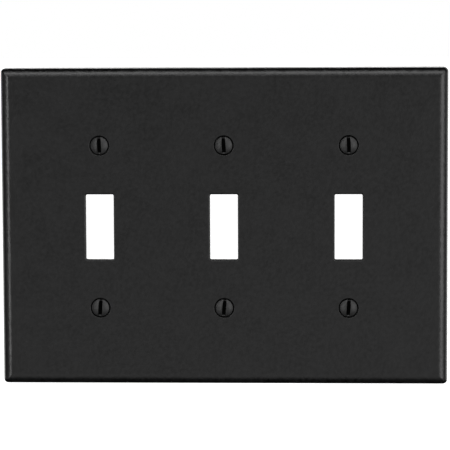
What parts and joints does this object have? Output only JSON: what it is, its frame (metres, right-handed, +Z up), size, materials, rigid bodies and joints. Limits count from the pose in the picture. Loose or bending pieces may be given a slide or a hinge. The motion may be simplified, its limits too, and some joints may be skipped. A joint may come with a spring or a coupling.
{
  "type": "toggle switch wall plate",
  "caption": "Wide black moulded wall plate with a rounded, sloping border, tall toggle openings in a row, and a captive slotted oval-head screw above and below each opening.",
  "frame": {"origin": "middle of the plate's outline in the wall plane, which is the plane of the back rim", "axes": "+X to the right along the long side, +Z up, -Y out of the face towards the room, +Y into the wall"},
  "size_m": [0.166, 0.0134, 0.1178],
  "materials": {
    "plate": "finely textured satin moulding",
    "screw": "black painted head, satin",
    "retainer": "natural nylon"
  },
  "bodies": {
    "plate": {"wall_plate": "plate"},
    "retainer_upper_left": {"retainer_upper_left": "retainer"},
    "retainer_upper_middle": {"retainer_upper_middle": "retainer"},
    "retainer_upper_right": {"retainer_upper_right": "retainer"},
    "retainer_lower_left": {"retainer_lower_left": "retainer"},
    "retainer_lower_middle": {"retainer_lower_middle": "retainer"},
    "retainer_lower_right": {"retainer_lower_right": "retainer"},
    "screw_upper_left": {"screw_upper_left": "screw"},
    "screw_upper_middle": {"screw_upper_middle": "screw"},
    "screw_upper_right": {"screw_upper_right": "screw"},
    "screw_lower_left": {"screw_lower_left": "screw"},
    "screw_lower_middle": {"screw_lower_middle": "screw"},
    "screw_lower_right": {"screw_lower_right": "screw"}
  },
  "joints": [
    {"name": "back_out_upper_left", "type": "slide", "parent": "plate", "child": "retainer_upper_left", "axis": [0, -1, 0], "range_m": [0, 0.0015]},
    {"name": "back_out_upper_middle", "type": "slide", "parent": "plate", "child": "retainer_upper_middle", "axis": [0, -1, 0], "range_m": [0, 0.0015]},
    {"name": "back_out_upper_right", "type": "slide", "parent": "plate", "child": "retainer_upper_right", "axis": [0, -1, 0], "range_m": [0, 0.0015]},
    {"name": "back_out_lower_left", "type": "slide", "parent": "plate", "child": "retainer_lower_left", "axis": [0, -1, 0], "range_m": [0, 0.0015]},
    {"name": "back_out_lower_middle", "type": "slide", "parent": "plate", "child": "retainer_lower_middle", "axis": [0, -1, 0], "range_m": [0, 0.0015]},
    {"name": "back_out_lower_right", "type": "slide", "parent": "plate", "child": "retainer_lower_right", "axis": [0, -1, 0], "range_m": [0, 0.0015]},
    {"name": "turn_upper_left", "type": "hinge", "parent": "retainer_upper_left", "child": "screw_upper_left", "pos_m": [-0.04604, 0, 0.03016], "axis": [0, 1, 0], "continuous": true},
    {"name": "turn_upper_middle", "type": "hinge", "parent": "retainer_upper_middle", "child": "screw_upper_middle", "pos_m": [0, 0, 0.03016], "axis": [0, 1, 0], "continuous": true},
    {"name": "turn_upper_right", "type": "hinge", "parent": "retainer_upper_right", "child": "screw_upper_right", "pos_m": [0.04604, 0, 0.03016], "axis": [0, 1, 0], "continuous": true},
    {"name": "turn_lower_left", "type": "hinge", "parent": "retainer_lower_left", "child": "screw_lower_left", "pos_m": [-0.04604, 0, -0.03016], "axis": [0, 1, 0], "continuous": true},
    {"name": "turn_lower_middle", "type": "hinge", "parent": "retainer_lower_middle", "child": "screw_lower_middle", "pos_m": [0, 0, -0.03016], "axis": [0, 1, 0], "continuous": true},
    {"name": "turn_lower_right", "type": "hinge", "parent": "retainer_lower_right", "child": "screw_lower_right", "pos_m": [0.04604, 0, -0.03016], "axis": [0, 1, 0], "continuous": true}
  ]
}
